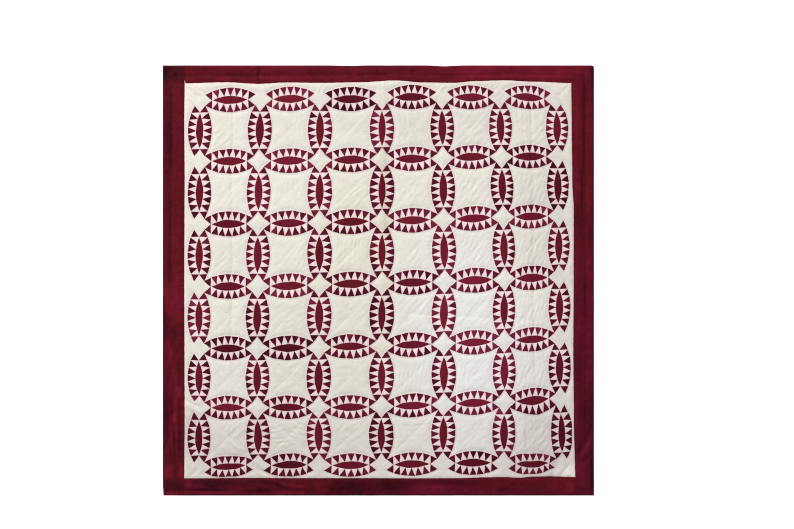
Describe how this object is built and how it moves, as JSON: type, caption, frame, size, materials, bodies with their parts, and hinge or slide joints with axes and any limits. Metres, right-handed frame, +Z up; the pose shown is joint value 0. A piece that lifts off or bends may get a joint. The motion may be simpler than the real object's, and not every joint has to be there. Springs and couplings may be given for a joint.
{
  "type": "wedding ring quilt",
  "caption": "Square bed quilt lying flat, pieced in interlocking maroon and cream rings with wedge edges, hand quilted, with a plain maroon border.",
  "frame": {"origin": "middle of the flat underside that the quilt lies on", "axes": "+Z up out of the quilt's face, +Y towards its top edge, +X towards its right side seen from above"},
  "size_m": [2.154, 2.149, 0.0103],
  "materials": {
    "cream_cotton": "aged cream cotton, fine plain weave, matt",
    "maroon_cotton": "maroon cotton, fine plain weave, soft dull sheen"
  },
  "bodies": {
    "root": {"ring_panel": "cream_cotton", "border_left": "maroon_cotton", "border_right": "maroon_cotton", "border_top": "maroon_cotton", "border_bottom": "maroon_cotton"}
  },
  "joints": []
}
